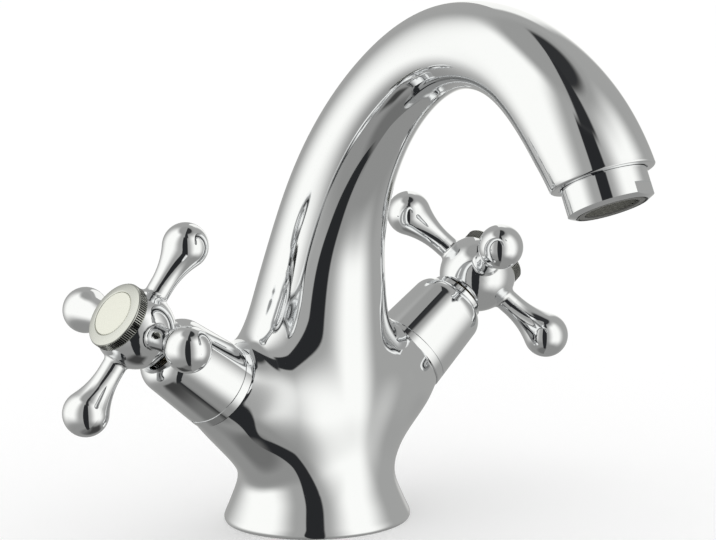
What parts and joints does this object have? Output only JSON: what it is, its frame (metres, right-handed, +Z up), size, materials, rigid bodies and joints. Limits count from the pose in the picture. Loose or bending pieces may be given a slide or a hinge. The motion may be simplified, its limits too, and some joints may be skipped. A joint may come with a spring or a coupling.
{
  "type": "basin mixer tap",
  "caption": "Deck basin mixer: waisted body with an arched fixed spout and aerator, and two slanted quarter-turn valves with cross handles, conical shrouds and round index caps.",
  "frame": {"origin": "centre of the base on the deck it stands on", "axes": "+Z up from the deck, -Y the way the spout points, +X to the cold valve"},
  "size_m": [0.1588, 0.1696, 0.1509],
  "materials": {
    "chrome_body": "polished chrome plate",
    "chrome_handle": "polished chrome plate",
    "chrome_trim": "polished chrome plate",
    "index_cream": "glossy cream glaze",
    "brass": "machined brass",
    "steel": "stainless steel",
    "rubber": "moulded black rubber",
    "plastic": "moulded plastic",
    "ceramic_disc": "lapped alumina"
  },
  "bodies": {
    "body": {"body_casting": "chrome_body", "base_gasket": "rubber", "aerator_housing": "chrome_trim", "aerator_insert": "plastic", "aerator_screen": "steel", "aerator_washer": "rubber", "hot_shroud": "chrome_trim", "hot_valve_bonnet": "brass", "hot_bonnet_seal": "rubber", "hot_fixed_disc": "ceramic_disc", "hot_seat_seal": "rubber", "cold_shroud": "chrome_trim", "cold_valve_bonnet": "brass", "cold_bonnet_seal": "rubber", "cold_fixed_disc": "ceramic_disc", "cold_seat_seal": "rubber"},
    "hot_handle": {"hot_handle": "chrome_handle", "hot_cap_ring": "chrome_trim", "hot_index_disc": "index_cream", "hot_handle_screw": "steel", "hot_spline_bush": "plastic", "hot_spindle": "brass", "hot_spindle_seals": "rubber", "hot_circlip": "steel", "hot_thrust_washer": "plastic", "hot_moving_disc": "ceramic_disc"},
    "cold_handle": {"cold_handle": "chrome_handle", "cold_cap_ring": "chrome_trim", "cold_index_disc": "index_cream", "cold_handle_screw": "steel", "cold_spline_bush": "plastic", "cold_spindle": "brass", "cold_spindle_seals": "rubber", "cold_circlip": "steel", "cold_thrust_washer": "plastic", "cold_moving_disc": "ceramic_disc"}
  },
  "joints": [
    {"name": "hot_handle_turn", "type": "hinge", "parent": "body", "child": "hot_handle", "pos_m": [0, 0, 0.01785], "axis": [-0.8011, 0, 0.5985], "range_deg": [0, 90]},
    {"name": "cold_handle_turn", "type": "hinge", "parent": "body", "child": "cold_handle", "pos_m": [0, 0, 0.01785], "axis": [0.8011, 0, 0.5985], "range_deg": [0, 90]}
  ]
}
